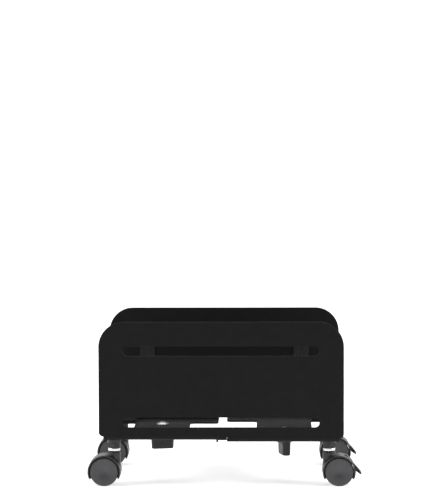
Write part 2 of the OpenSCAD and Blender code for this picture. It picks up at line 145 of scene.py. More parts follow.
BOLT_HEAD_D, BOLT_HEAD_H = 14.0, 3.0
PAD_X, PAD_LEN, PAD_DEPTH = 117.0, 26.0, 34.0
PAD_TOP = box_mm("near_corner_pads")[1][2]
STRIP_X, STRIP_W, STRIP_T, STRIP_H = 92.0, 18.0, 1.5, 56.0
WING_LEN, WING_T = 27.6, 10.0
WING_TURN = {"left": 15.0, "right": -75.0}
UPPER_Z = BASE_Z + LEVEL_STEP
RELIEF_FROM, RELIEF_TO = RELIEF_X - RELIEF_W / 2, RELIEF_X + RELIEF_W / 2
WELL_R = FENDER_R - FENDER_T

# Brake: angles in degrees about the axle, from level and upwards
PIVOT_ANGLE, PIVOT_R = 63.0, 15.4
PIVOT = (PIVOT_R * math.cos(math.radians(PIVOT_ANGLE)), PIVOT_R * math.sin(math.radians(PIVOT_ANGLE)))
BRAKE_PIN_D = 2.0
EYE_R, EYE_W = 2.2, 5.6
WINDOW_CLEAR = 0.4
WINDOW, NOTCH, NOTCH_R, EYE_SLOT_END = (-3.0, 66.0), (17.0, 57.0), 13.4, 72.0

# Brake lever: its outer face, places along that face from where it is nearest the axle, depths
LEVER_SLOPE, LEVER_FACE = 50.0, 18.2
ARM_START, ARM_KNEE, HEEL, FOOT_START, FOOT_TIP = -4.9, 6.5, 10.5, 12.6, 17.2
ARM_T, HEEL_DEPTH, TIP_DEPTH, TIP_R = 1.9, 4.0, 1.15, 1.1
ARM_W, FOOT_W = 12.0, 14.0
RIBS, RIB_START, RIB_STEP, RIB_R = 5, 8.6, 1.5, 0.45


# ---------------------------------------------------------------- distance fields and their meshes

def meet(a, b, r):
    """What is inside both shapes, with a round edge of radius r where they cross."""
    corner = np.hypot(np.maximum(a + r, 0), np.maximum(b + r, 0))
    return np.minimum(np.maximum(a, b), -r) + corner


def join(a, b, r):
    """What is inside either shape, with a fillet of radius r where they cross."""
    return -meet(-a, -b, r)


def carve(a, b, r):
    """The first shape without the second, with a round edge of radius r."""
    return meet(a, -b, r)


def between(value, low, high):
    return np.maximum(low - value, value - high)


def skin(field, low, high, step):
    """Quad mesh of a distance field's surface: one vertex in each cell that the surface crosses."""
    axes = [np.arange(a - 2 * step, b + 3 * step, step) for a, b in zip(low, high)]
    value = field(*np.meshgrid(*axes, indexing="ij"))
    inside = value < 0
    cells = tuple(n - 1 for n in value.shape)
    total = np.zeros(cells + (3,))
    count = np.zeros(cells)
    for axis in range(3):
        a = [slice(None)] * 3
        b = [slice(None)] * 3
        a[axis], b[axis] = slice(None, -1), slice(1, None)
        v0, v1 = value[tuple(a)], value[tuple(b)]
        crossed = inside[tuple(a)] != inside[tuple(b)]
        part = np.where(crossed, v0 / np.where(crossed, v0 - v1, 1), 0)
        others = [i for i in range(3) if i != axis]
        for da in (0, 1):
            for db in (0, 1):
                pick = [slice(None)] * 3
                for other, d in zip(others, (da, db)):
                    pick[other] = slice(d, cells[other] + d)
                hit = crossed[tuple(pick)]
                shift = np.zeros(cells + (3,))
                shift[..., axis] = part[tuple(pick)]
                shift[..., others[0]] = da
                shift[..., others[1]] = db
                total += shift * hit[..., None]
                count += hit
    used = count > 0
    number = np.full(cells, -1)
    number[used] = np.arange(used.sum())
    where = np.argwhere(used)
    start = np.array([axis[0] for axis in axes])
    points = start + step * (where + total[used] / count[used][:, None])
    faces = []
    for axis in range(3):
        a = [slice(1, -1)] * 3
        b = [slice(1, -1)] * 3
        a[axis], b[axis] = slice(None, -1), slice(1, None)
        i0, i1 = inside[tuple(a)], inside[tuple(b)]
        p, q = [(1, 2), (2, 0), (0, 1)][axis]
        for flip, hits in ((False, i0 & ~i1), (True, ~i0 & i1)):
            at = np.argwhere(hits)
            at[:, [i for i in range(3) if i != axis]] += 1
            ring = []
            for dp, dq in ((-1, -1), (0, -1), (0, 0), (-1, 0)):
                cell = at.copy()
                cell[:, p] += dp
                cell[:, q] += dq
                ring.append(number[tuple(cell.T)])
            quad = np.stack(ring[::-1] if flip else ring, axis=1)
            faces.append(quad)
    faces = np.concatenate(faces)
    nudge = step * 0.02
    for _ in range(4):
        here = field(*points.T)
        slope = np.stack([
            (field(*(points + nudge * e).T) - field(*(points - nudge * e).T)) / (2 * nudge)
            for e in np.eye(3)], axis=1)
        move = slope * (here / np.maximum((slope ** 2).sum(1), 0.1))[:, None]
        points -= np.clip(move, -0.4 * step, 0.4 * step)
    return points, faces


def to_mesh(name, points, faces, smooth=True):
    mesh = bpy.data.meshes.new(name)
    mesh.from_pydata((np.asarray(points) * MM).tolist(), [], [list(map(int, f)) for f in faces])
    mesh.validate()
    if smooth:
        mesh.shade_smooth()
    return mesh


def place(name, mesh, body, slot, replaced, matrix=None):
    """Links a mesh as a piece that rides on a body and stands for CAD nodes."""
    piece = bpy.data.objects.new(name, mesh)
    bpy.context.scene.collection.objects.link(piece)
    if matrix is not None:
        piece.matrix_world = matrix
    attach(piece, body)
    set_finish(piece, slot)
    if replaced:
        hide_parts(*replaced)
    return piece


def at_corner(corner):
    """Matrix from a caster's own coordinates (stem axis on Z, wheels towards +X) to its place."""
    side_x, side_y = CORNERS[corner]
    spot = Vector(((PLATE_MIDDLE + side_x * STEM_X) * MM, side_y * STEM_Y * MM, 0))
    turn = Matrix.Rotation(0 if side_x > 0 else math.pi, 4, "Z")
    return Matrix.Translation(spot) @ turn


def at_clamp(clamp):
    """Matrix from a clamp's own coordinates, with its bolt's axis on Z, to its place."""
    sign = CLAMPS[clamp][1]
    spot = Vector(((PLATE_MIDDLE + sign * BOLT_AXIS[0]) * MM, sign * BOLT_AXIS[1] * MM, 0))
    return Matrix.Translation(spot) @ Matrix.Rotation(0 if sign > 0 else math.pi, 4, "Z")


def at_side(side):
    """Matrix from the near bracket's coordinates (plate's middle at x = 0) to a bracket's place."""
    turn = Matrix.Rotation(0 if SIDES[side][1] > 0 else math.pi, 4, "Z")
    return Matrix.Translation(Vector((PLATE_MIDDLE * MM, 0, 0))) @ turn


# ---------------------------------------------------------------- sheet metal

def arc(x, y, r, start, end, steps):
    """Points of an arc from one angle to another, in degrees."""
    angles = [math.radians(start + (end - start) * i / steps) for i in range(steps + 1)]
    return [(x + r * math.cos(a), y + r * math.sin(a)) for a in angles]


def long_hole(x, y, length, height, steps=12):
    """Outline of a hole with round ends, its length along X."""
    reach, r = (length - height) / 2, height / 2
    return arc(x + reach, y, r, -90, 90, steps) + arc(x - reach, y, r, 90, 270, steps)


NEUTRAL_R = BEND_R - SHEET / 2
BEND_ARC = NEUTRAL_R * math.pi / 2
BEND_STEPS = 8
EDGE_ROUND = 0.5
EDGE_STEPS = 3
SLIT_W = 0.15
SLIT_END = 1.2


def bend_start(x):
    """Height at which the plate starts to bend: the left half's sheet lies one step higher."""
    return (UPPER_Z if x < RELIEF_X else BASE_Z) + BEND_R


def unroll(x, depth):
    """Flat-pattern height of a point of the base that lies at this depth behind the plate's face."""
    return bend_start(x) - BEND_ARC - (depth - BEND_R)


def fold(x, t, n):
    """Place of a flat-pattern point at n in front of the sheet's middle, on the bent bracket."""
    start = bend_start(x)
    if t >= start or RELIEF_FROM + 0.1 < x < RELIEF_TO - 0.1:
        return x, PLATE_FACE + SHEET / 2 - n, t
    run = start - t
    turn = min(run / NEUTRAL_R, math.pi / 2)
    flat = max(run - BEND_ARC, 0)
    r = NEUTRAL_R + n
    return x, PLATE_FACE + BEND_R - r * math.cos(turn) + flat, start - r * math.sin(turn)


def bend_heights(start):
    """Flat-pattern heights of the lines that the bend is divided by, from the plate down."""
    return [start - BEND_ARC * i / BEND_STEPS for i in range(BEND_STEPS + 1)]


def base_outline(side, reach):
    """Outline of one half of the base, from the plate's outer corner round to the relief cut."""
    tongue_end = unroll(side * TONGUE_X, HALF_W + reach)
    flange_end = unroll(side * TONGUE_X, FLANGE_DEPTH)
    fillet = 5.0
    outer = HALF_LEN - FOOT_R
    inner = RELIEF_FROM if side < 0 else RELIEF_TO
    tongue_out = TONGUE_X + TONGUE_W / 2
    tongue_in = TONGUE_X - TONGUE_W / 2

    def corner(x, t, r, first, last):
        """Arc in the quadrants as they are on the right half, mirrored for the left one."""
        points = arc(x, t, r, first, last, 8)
        return [(side * px, py) for px, py in points]

    start = bend_start(side * TONGUE_X)
    outline = corner(outer, start + FOOT_R, FOOT_R, 0, -90)
    outline += [(side * outer, t) for t in bend_heights(start)[1:]]
    outline += corner(outer - FOOT_R, flange_end + FOOT_R, FOOT_R, 0, -90)
    outline += corner(tongue_out + fillet, flange_end - fillet, fillet, 90, 180)
    outline += corner(tongue_out - TONGUE_R, tongue_end + TONGUE_R, TONGUE_R, 0, -90)
    outline += corner(tongue_in + TONGUE_R, tongue_end + TONGUE_R, TONGUE_R, -90, -180)
    outline += corner(tongue_in - fillet, flange_end - fillet, fillet, 0, 90)
    outline += corner(side * inner + FOOT_R, flange_end + FOOT_R, FOOT_R, -90, -180)
    outline += [(inner, t) for t in bend_heights(start)[::-1]]
    slit = inner - side * SLIT_W
    outline += [(inner, start + SLIT_END), (slit, start + SLIT_END), (slit, UPPER_Z)]
    return outline


def bracket_loops():
    """Outer outline and holes of the bracket's flat pattern."""
    top = PLATE_TOP - CORNER_R
    outline = arc(-HALF_LEN + CORNER_R, top, CORNER_R, 180, 90, 24)
    outline += arc(HALF_LEN - CORNER_R, top, CORNER_R, 90, 0, 24)
    outline += base_outline(1, LOWER_REACH)
    outline += base_outline(-1, UPPER_REACH)[::-1]
    holes = [long_hole(0, z, SLOT_LEN, SLOT_H) for z in (UPPER_SLOT_Z, LOWER_SLOT_Z)]
    for side in (-1, 1):
        x = side * STEM_X
        holes.append(arc(x, unroll(x, HALF_W - STEM_Y), THREAD_D / 2 + RUN, 0, 345, 23))
    half = BOLT_D / 2 + RUN
    bolt_t = unroll(-TONGUE_X, HALF_W + BOLT_AXIS[1])
    holes.append([(-TONGUE_X - half, bolt_t - half), (-TONGUE_X + half, bolt_t - half),
                  (-TONGUE_X + half, bolt_t + half), (-TONGUE_X - half, bolt_t + half)])
    near_end = unroll(TONGUE_X, HALF_W - BOLT_AXIS[1] - NARROW)
    far_end = unroll(TONGUE_X, HALF_W - BOLT_AXIS[1] + WIDEN)
    r = SLOT_W / 2
    holes.append(arc(TONGUE_X, near_end, r, 0, 180, 10) + arc(TONGUE_X, far_end, r, 180, 360, 10))
    return outline, holes


def wound(loop, turn):
    """The loop anticlockwise for turn = 1, clockwise for turn = -1."""
    area = sum(a[0] * b[1] - b[0] * a[1] for a, b in zip(loop, loop[1:] + loop[:1]))
    return loop if area * turn > 0 else loop[::-1]


def inward(loop):
    """Offset of each point for an inset of 1 towards the loop's left."""
    points = np.array(loop)
    step = np.roll(points, -1, axis=0) - points
    step /= np.linalg.norm(step, axis=1)[:, None]
    after = np.stack([-step[:, 1], step[:, 0]], axis=1)
    before = np.roll(after, 1, axis=0)
    return (before + after) / (1 + (before * after).sum(1))[:, None]


def edge_profile():
    """Steps round the sheet's edge: inset, and place in front of the sheet's middle."""
    quarter = [math.radians(90 * i / EDGE_STEPS) for i in range(EDGE_STEPS + 1)]
    front = [(EDGE_ROUND * (1 - math.sin(a)), SHEET / 2 - EDGE_ROUND * (1 - math.cos(a))) for a in quarter]
    return front + [(inset, -n) for inset, n in front[::-1]]


def inside(loop, x, y):
    """True for the points that lie inside a loop."""
    hits = np.zeros(len(x), bool)
    for (ax, ay), (bx, by) in zip(loop, loop[1:] + loop[:1]):
        if ay != by:
            hits ^= ((ay > y) != (by > y)) & (x < ax + (y - ay) * (bx - ax) / (by - ay))
    return hits


def face_triangles(loops):
    """Triangles between an outline and its holes, divided along the bend as well."""
    points = [p for loop in loops for p in loop]
    edges, first = [], 0
    for loop in loops:
        edges += [(first + i, first + (i + 1) % len(loop)) for i in range(len(loop))]
        first += len(loop)
    outline = loops[0]
    for side, inner in ((-1, RELIEF_FROM), (1, RELIEF_TO)):
        for t in bend_heights(bend_start(side * TONGUE_X)):
            ends = []
            for x in (side * (HALF_LEN - FOOT_R - EDGE_ROUND), inner + side * EDGE_ROUND):
                gaps = [math.hypot(px - x, py - t) for px, py in outline]
                ends.append(gaps.index(min(gaps)))
            edges.append(tuple(ends))
    flat = delaunay_2d_cdt([Vector(p) for p in points], edges, [], 0, 1e-4)
    origin = [found[0] for found in flat[3]]
    middles = np.array([sum((flat[0][v] for v in face), Vector((0, 0))) / 3 for face in flat[2]])
    keep = inside(outline, *middles.T)
    for hole in loops[1:]:
        keep &= ~inside(hole, *middles.T)
    return [[origin[v] for v in face] for face, kept in zip(flat[2], keep) if kept]


def bracket_mesh():
    """Bent sheet with rounded edges: a flat pattern with its holes, folded along the bend."""
    outline, holes = bracket_loops()
    loops = [wound(outline, 1)] + [wound(hole, -1) for hole in holes]
    offsets = [inward(loop) for loop in loops]
    bm = bmesh.new()
    rings = []
    for inset, n in edge_profile():
        moved = [np.array(loop) + inset * offset for loop, offset in zip(loops, offsets)]
        rings.append([bm.verts.new(Vector(fold(x, t, n)) * MM) for x, t in np.concatenate(moved)])
        if n == SHEET / 2:
            faces = face_triangles([[tuple(p) for p in loop] for loop in moved])
    first = 0
    for loop in loops:
        for a, b in zip(rings, rings[1:]):
            for i in range(len(loop)):
                u, v = first + i, first + (i + 1) % len(loop)
                bm.faces.new([a[u], a[v], b[v], b[u]])
        first += len(loop)
    for face in faces:
        bm.faces.new([rings[0][v] for v in face])
        bm.faces.new([rings[-1][v] for v in face[::-1]])
    bmesh.ops.recalc_face_normals(bm, faces=bm.faces)
    mesh = bpy.data.meshes.new("bracket")
    bm.to_mesh(mesh)
    bm.free()
    mesh.shade_smooth()
    return mesh


def round_edges(piece, width, segments=3, angle=40):
    bevel = piece.modifiers.new("rounded edges", "BEVEL")
    bevel.width = width * MM
    bevel.segments = segments
    bevel.limit_method = "ANGLE"
    bevel.angle_limit = math.radians(angle)
    bevel.harden_normals = True


def unite(piece, other):
    union = piece.modifiers.new("union", "BOOLEAN")
    union.operation = "UNION"
    union.solver = "EXACT"
    union.object = other


def loose_object(mesh):
    helper = bpy.data.objects.new(mesh.name, mesh)
    bpy.context.scene.collection.objects.link(helper)
    return helper


def applied(name, helpers):
    """Mesh of the first helper with its modifiers applied; the helpers are removed."""
    depsgraph = bpy.context.evaluated_depsgraph_get()
    mesh = bpy.data.meshes.new_from_object(helpers[0].evaluated_get(depsgraph), depsgraph=depsgraph)
    mesh.name = name
    for helper in helpers:
        bpy.data.objects.remove(helper)
    return mesh


def block_mesh(name, low, high):
    """Closed box between two corners."""
    bm = bmesh.new()
    bmesh.ops.create_cube(bm, size=1)
    low, high = Vector(low), Vector(high)
    bmesh.ops.scale(bm, verts=bm.verts, vec=(high - low) * MM)
    bmesh.ops.translate(bm, verts=bm.verts, vec=(high + low) / 2 * MM)
    mesh = bpy.data.meshes.new(name)
    bm.to_mesh(mesh)
    bm.free()
    return mesh


def finished_bracket():
    """The folded sheet with its guide tab."""
    sheet = loose_object(bracket_mesh())
    tab_y = PLATE_FACE + BEND_R
    tab = loose_object(block_mesh("tab", (RELIEF_FROM - SHEET, tab_y, UPPER_Z - TAB_DROP),
                                  (RELIEF_FROM + 0.01, tab_y + TAB_LEN, UPPER_Z + SHEET / 2)))
    round_edges(tab, 0.4)
    unite(sheet, tab)
    shading = sheet.modifiers.new("shading", "WEIGHTED_NORMAL")
    shading.mode = "FACE_AREA"
    shading.weight = 100
    return applied("bent_bracket", [sheet, tab])


def add_brackets():
    mesh = finished_bracket()
    for side, (body, _) in SIDES.items():
        place(side + "_bent_bracket", mesh, body, "powder_coat", [side + "_bracket"], at_side(side))


# ---------------------------------------------------------------- turned parts

def lathe(name, rings, steps=64):
    """Closed body of revolution about Z from (radius, height) pairs; either may depend on the angle."""
    bm = bmesh.new()
    loops = []
    for r, h in rings:
        loop = []
        for i in range(steps):
            angle = 2 * math.pi * i / steps
            reach = r(angle) if callable(r) else r
            height = h(angle) if callable(h) else h
            loop.append(bm.verts.new(Vector((reach * math.cos(angle), reach * math.sin(angle), height)) * MM))
        loops.append(loop)
    for one, two in zip(loops, loops[1:]):
        for i in range(steps):
            j = (i + 1) % steps
            bm.faces.new((one[i], one[j], two[j], two[i]))
    bmesh.ops.remove_doubles(bm, verts=bm.verts, dist=1e-7)
    bmesh.ops.recalc_face_normals(bm, faces=bm.faces)
    mesh = bpy.data.meshes.new(name)
    bm.to_mesh(mesh)
    bm.free()
    return smooth(mesh)


def smooth(mesh, angle=32):
    """Smooth shading with sharp edges above an angle."""
    mesh.shade_smooth()
    mesh.set_sharp_from_angle(angle=math.radians(angle))
    return mesh


def wheel_rings():
    """Section of one wheel from its outer face, round the tread, to the hollow inner side."""
    face, inner, r = WHEEL_FACE, WHEEL_INNER, WHEEL_R
    edge = 1.3
    rim = r - 2.1
    floor = face - 1.9
    hub = AXLE_D / 2 + 2
    bore = AXLE_D / 2 + 0.05
    rings = [(0, face - 0.3), (4.0, face - 0.3), (4.5, face - 0.12), (r - 3.4, face - 0.02), (r - 2.6, face)]
    rings += arc(r - edge, face - edge, edge, 90, 0, 7)
    rings += [(r, inner + 1.0), (r - 0.3, inner + 0.3), (r - 0.8, inner), (rim + 0.3, inner)]
    rings += [(rim, inner + 0.3), (rim, floor + 0.6), (rim - 0.6, floor), (hub + 0.6, floor)]
    rings += [(hub, floor - 0.6), (hub, inner - 0.1), (hub - 0.2, inner - 0.2), (bore, inner - 0.2)]
    rings += [(bore, AXLE_LEN / 2 + 0.2), (0, AXLE_LEN / 2 + 0.2)]
    return rings


def wheel_mesh():
    """Wheel with its outer face towards -Y and stiffening ribs on its hollow side."""
    disc = loose_object(lathe("wheel", wheel_rings(), 96))
    low, high = WHEEL_INNER + 1.2, WHEEL_FACE - 1.2
    start, end = AXLE_D / 2 + 1.6, WHEEL_R - 1.7
    rib_count, rib_t = 8, 1.1
    ribs = bmesh.new()
    for i in range(rib_count):
        verts = bmesh.ops.create_cube(ribs, size=1)["verts"]
        bmesh.ops.scale(ribs, verts=verts, vec=Vector((end - start, rib_t, high - low)) * MM)
        bmesh.ops.translate(ribs, verts=verts, vec=Vector(((start + end) / 2, 0, (low + high) / 2)) * MM)
        turn = Matrix.Rotation(2 * math.pi * i / rib_count, 3, "Z")
        bmesh.ops.rotate(ribs, verts=verts, cent=(0, 0, 0), matrix=turn)
    rib_mesh = bpy.data.meshes.new("ribs")
    ribs.to_mesh(rib_mesh)
    ribs.free()
    rib_object = loose_object(rib_mesh)
    unite(disc, rib_object)
    mesh = applied("wheel", [disc, rib_object])
    mesh.transform(Matrix.Rotation(math.pi / 2, 4, "X"))
    return smooth(mesh)


def hexagon(flats):
    """Radius of a hexagon at an angle; one of its corners points along Y."""
    def radius(angle):
        return flats / 2 / math.cos((angle + math.pi / 6) % (math.pi / 3) - math.pi / 6)
    return radius


def nut_mesh(base, height, bore):
    """Hexagonal nut with chamfered corners."""
    outline = hexagon(NUT_FLATS)
    flat_r = NUT_FLATS / 2 * 0.97

    def drop(angle):
        return (outline(angle) - flat_r) * math.tan(math.radians(30))

    top = base + height
    rings = [(bore / 2, base + 0.5), (bore / 2 + 0.5, base), (flat_r, base)]
    rings += [(outline, lambda a: base + drop(a)), (outline, lambda a: top - drop(a)), (flat_r, top)]
    rings += [(bore / 2 + 0.5, top), (bore / 2, top - 0.5), (bore / 2, base + 0.5)]
    return lathe("nut", rings, 72)


def ring_mesh(name, inner, outer, base, top, edge=0.4):
    """Round collar or washer with rounded outer edges."""
    rings = [(inner, base + 0.2), (inner + 0.2, base)]
    rings += arc(outer - edge, base + edge, edge, -90, 0, 4)
    rings += arc(outer - edge, top - edge, edge, 0, 90, 4)
    rings += [(inner + 0.2, top), (inner, top - 0.2), (inner, base + 0.2)]
    return lathe(name, rings)


def stem_mesh(top):
    """Caster stem: pin with its groove, cone, collar, and the threaded end."""
    pin, collar, thread = PIN_D / 2, COLLAR_D / 2, THREAD_D / 2
    groove = pin - 0.9
    rings = [(0, PIN_END), (pin - 0.5, PIN_END), (pin, PIN_END + 0.5), (pin, PIN_END + 1.9)]
    rings += [(groove, PIN_END + 2.05), (groove, PIN_END + 3.95), (pin, PIN_END + 4.1)]
    rings += [(pin, BOSS_TOP - 0.4), (collar - 0.3, COLLAR_BASE - 0.15)]
    rings += arc(collar - 0.4, COLLAR_BASE + 0.3, 0.4, -30, 0, 3)
    rings += arc(collar - 0.4, NUT_BASE - 0.4, 0.4, 0, 90, 4)
    rings += [(thread + 0.4, NUT_BASE), (thread, NUT_BASE + 0.1)]
    pitch = 1.25
    count = int((top - 0.6 - NUT_BASE - 0.4) / (pitch / 2))
    for i in range(count):
        rings.append((thread - (0.5 if i % 2 else 0.02), NUT_BASE + 0.4 + i * pitch / 2))
    rings += [(thread - 0.55, top - 0.02), (0, top - 0.02)]
    return lathe("stem", rings)


def bolt_mesh():
    """Carriage bolt: domed head, square neck and threaded shank, its axis on Z."""
    shank = BOLT_D / 2
    head_z = UPPER_Z + SHEET
    dome = ((BOLT_HEAD_D / 2) ** 2 + BOLT_HEAD_H ** 2) / (2 * BOLT_HEAD_H)
    centre = head_z + BOLT_HEAD_H - dome
    rim = math.degrees(math.asin((BOLT_HEAD_D / 2 - 0.3) / dome))

    def square(angle):
        half = BOLT_D / 2 + 0.01
        turn = (angle + math.pi / 4) % (math.pi / 2) - math.pi / 4
        return min(half / math.cos(turn), half * 1.36)

    rings = [(0, BOLT_END), (shank - 0.7, BOLT_END)]
    pitch = 1.0
    count = int((UPPER_Z - BOLT_END - 0.6) / (pitch / 2))
    for i in range(count):
        rings.append((shank - (0.02 if i % 2 else 0.4), BOLT_END + 0.4 + i * pitch / 2))
    rings += [(shank - 0.02, UPPER_Z - 0.05), (square, UPPER_Z), (square, head_z - 0.02)]
    rings += [(BOLT_HEAD_D / 2 - 0.4, head_z), (BOLT_HEAD_D / 2, head_z + 0.3)]
    rings += arc(0, centre, dome, 90 - rim, 90, 14)
    return lathe("carriage_bolt", rings, 80)


def add_turned_parts():
    """Nuts, spacers, stems, washers and clamp bolts."""
    nut = nut_mesh(NUT_BASE, NUT_H, THREAD_D + 0.1)
    bore = THREAD_D / 2 + RUN
    spacers = {z: ring_mesh("spacer", bore, SPACER_D / 2, SPACER_BASE, z) for z in (BASE_Z, UPPER_Z)}
    stems = {z: stem_mesh(z + SHEET) for z in (BASE_Z, UPPER_Z)}
    for side, (body, _) in SIDES.items():
        nuts, stacks = [], []
        for corner, (side_x, side_y) in CORNERS.items():
            if not corner.startswith(side):
                continue
            z = UPPER_Z if side_x == side_y else BASE_Z
            nuts.append(place(corner + "_weld_nut", nut, body, "painted_nut", [], at_corner(corner)))
            stacks.append(place(corner + "_spacer", spacers[z], body, "painted_nut", [], at_corner(corner)))
            place(corner + "_threaded_stem", stems[z], body, "zinc", [corner + "_stem"], at_corner(corner))
        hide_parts(side + "_weld_nuts")
        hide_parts(side + "_nut_spacers")
    bolt = bolt_mesh()
    washer = ring_mesh("washer", BOLT_D / 2 + 0.1, WASHER_D / 2, KNOB_TOP, KNOB_TOP + WASHER_T, 0.3)
    for clamp, (body, _) in CLAMPS.items():
        place(clamp + "_carriage_bolt", bolt, body, "zinc", [clamp + "_clamp_bolt"], at_clamp(clamp))
        place(clamp + "_flat_washer", washer, clamp + "_clamp_washer_body", "zinc",
              [clamp + "_clamp_washer"], at_clamp(clamp))


# ---------------------------------------------------------------- moulded parts

def skin_mesh(name, field, low, high, step):
    """Mesh of a field, on a grid that is shifted a little until every edge joins two faces."""
    for shift in (0.0, 0.21, 0.37, 0.46):
        start = [a - shift * step for a in low]
        mesh = to_mesh(name, *skin(field, start, high, step))
        bm = bmesh.new()
        bm.from_mesh(mesh)
        closed = all(edge.is_manifold for edge in bm.edges)
        bm.free()
        if closed:
            return mesh
    return mesh


def sector_field(u, y, w, r, start, end, width):
    """Space beyond radius r between two angles about the axle, over a width along the axle."""
    a, b = math.radians(start), math.radians(end)
    below = u * math.sin(a) - w * math.cos(a)
    above = w * math.cos(b) - u * math.sin(b)
    return np.maximum(np.maximum(below, above), np.maximum(r - np.hypot(u, w), np.abs(y) - width / 2))


def hood_field(braked):
    """Hood in the caster's coordinates: stem axis on Z, axle along Y at x = TRAIL."""
    def field(x, y, z):
        u, w = x - TRAIL, z - AXLE_Z
        q = np.hypot(u, w)
        body = meet(q - FENDER_R, np.abs(y) - HOOD_W / 2, 0.7)
        body = meet(body, HOOD_LOW - z, 0.7)
        boss = meet(np.hypot(x, y) - BOSS_D / 2, between(z, AXLE_Z, BOSS_TOP), 0.7)
        body = join(body, boss, 2.6)
        body = carve(body, meet(q - WELL_R, WEB_W / 2 - np.abs(y), 0.9), 0.45)
        body = join(body, meet(q - WEB_HUB_R, np.abs(y) - WEB_W / 2, 0.4), 0.6)
        socket = np.maximum(np.hypot(x, y) - PIN_D / 2 - RUN, SOCKET_FLOOR - z)
        mouth = np.hypot(x, y) - PIN_D / 2 - 0.6 - 1.2 * np.clip(z - BOSS_TOP + 1.0, -0.5, 1)
        body = carve(body, socket, 0.05)
        body = carve(body, np.maximum(mouth, BOSS_TOP - 1.0 - z), 0.1)
        body = carve(body, q - AXLE_D / 2 - FIT, 0.05)
        if not braked:
            return body
        window_w, slot_w = ARM_W + 2 * WINDOW_CLEAR, EYE_W + 2 * WINDOW_CLEAR
        body = carve(body, sector_field(u, y, w, WELL_R - WINDOW_CLEAR, *WINDOW, window_w), 0.4)
        body = carve(body, sector_field(u, y, w, NOTCH_R, *NOTCH, WEB_W + 1), 0.2)
        slot_r = PIVOT_R - EYE_R - WINDOW_CLEAR
        body = carve(body, sector_field(u, y, w, slot_r, NOTCH[1] - 1, EYE_SLOT_END, slot_w), 0.2)
        pin = np.hypot(u - PIVOT[0], w - PIVOT[1]) - BRAKE_PIN_D / 2 - FIT
        return carve(body, np.maximum(pin, np.abs(y) - WEB_W / 2 - 1), 0.05)
    return field


def convex_field(u, v, corners, round_r):
    """Distance to a convex shape given by its corners anticlockwise, its corners rounded."""
    field = np.full(np.broadcast(u, v).shape, -1e3)
    for (au, av), (bu, bv) in zip(corners, corners[1:] + corners[:1]):
        length = math.hypot(bu - au, bv - av)
        edge = ((u - au) * (bv - av) - (v - av) * (bu - au)) / length
        field = meet(field, edge, round_r)
    return field


def lever_field(x, y, z):
    """Brake lever in the caster's coordinates: eye, neck, arm and ribbed foot pad."""
    slope = math.radians(LEVER_SLOPE)
    dx, dz = x - TRAIL, z - AXLE_Z
    u = dx * math.cos(slope) - dz * math.sin(slope)
    v = dx * math.sin(slope) + dz * math.cos(slope)
    turn = math.radians(PIVOT_ANGLE + LEVER_SLOPE)
    eye_u, eye_v = PIVOT_R * math.cos(turn), PIVOT_R * math.sin(turn)
    pivot = np.hypot(u - eye_u, v - eye_v)
    eye = meet(pivot - EYE_R, np.abs(y) - EYE_W / 2, 0.3)
    neck = convex_field(u, v, [(eye_u - 1.7, eye_v + 0.9), (eye_u + 1.8, eye_v - 0.7),
                               (ARM_START + 4, LEVER_FACE - 0.4), (ARM_START + 0.2, LEVER_FACE - 0.4)], 0.2)
    neck = meet(neck, np.abs(y) - EYE_W / 2, 0.3)
    arm = convex_field(u, v, [(ARM_START, LEVER_FACE - ARM_T), (HEEL, LEVER_FACE - ARM_T),
                              (HEEL, LEVER_FACE), (ARM_START, LEVER_FACE)], 0.4)
    tip_v = LEVER_FACE - TIP_DEPTH
    pad = convex_field(u, v, [(ARM_KNEE, LEVER_FACE - ARM_T), (HEEL, LEVER_FACE - HEEL_DEPTH),
                              (FOOT_TIP, tip_v - TIP_R), (FOOT_TIP, tip_v + TIP_R),
                              (ARM_KNEE, LEVER_FACE)], 0.25)
    pad = join(pad, np.hypot(u - FOOT_TIP, v - tip_v) - TIP_R, 0.3)
    widening = np.clip((u - FOOT_START + 0.2) / 1.4, 0, 1)
    half_w = ARM_W / 2 + (FOOT_W - ARM_W) / 2 * widening ** 2 * (3 - 2 * widening)
    blade = meet(join(arm, pad, 0.4), np.abs(y) - half_w, 0.7)
    for i in range(1, RIBS + 1):
        rib = np.hypot(u - RIB_START - i * RIB_STEP, v - LEVER_FACE + 0.1) - RIB_R
        blade = join(blade, meet(rib, np.abs(y) - ARM_W / 2 + 0.5, 0.3), 0.15)
    body = join(join(eye, neck, 0.4), blade, 0.5)
    return carve(body, pivot - BRAKE_PIN_D / 2 - RUN, 0.1)


def knob_field(turn):
    """Wing knob about its bolt: round flange, cone under it, and a tapered wing with round ends."""
    c, s = math.cos(math.radians(turn)), math.sin(math.radians(turn))
    rim = KNOB_TOP - 5.8
    dome_end = rim - 3.2

    def field(x, y, z):
        along, across = x * c + y * s, y * c - x * s
        r = np.hypot(x, y)
        flange = meet(r - KNOB_D / 2, between(z, rim, KNOB_TOP), 1.1)
        rise = np.clip((z - dome_end) / (rim - dome_end), 0, 1)
        cone_r = 7.6 + (KNOB_D / 2 - 8.4) * rise
        cone = meet((r - cone_r) * 0.55, between(z, dome_end, KNOB_TOP - 1), 0.6)
        grow = np.clip((z - KNOB_BOTTOM) / (rim - KNOB_BOTTOM), 0, 1)
        half_t = WING_T / 2 - 0.5 * (1 - grow)
        reach = WING_LEN / 2 - WING_T / 2 - 0.4 * (1 - grow)
        wing = np.hypot(np.maximum(np.abs(along) - reach, 0), across) - half_t
        wing = meet(wing, between(z, KNOB_BOTTOM, KNOB_TOP - 2), 1.3)
        body = join(join(flange, cone, 0.8), wing, 1.8)
        body = carve(body, np.maximum(r - 4.5, KNOB_TOP - INSERT_LEN - z), 0.2)
        return carve(body, np.maximum(r - 3.3, BOLT_END - 3.2 - z), 0.2)
    return field


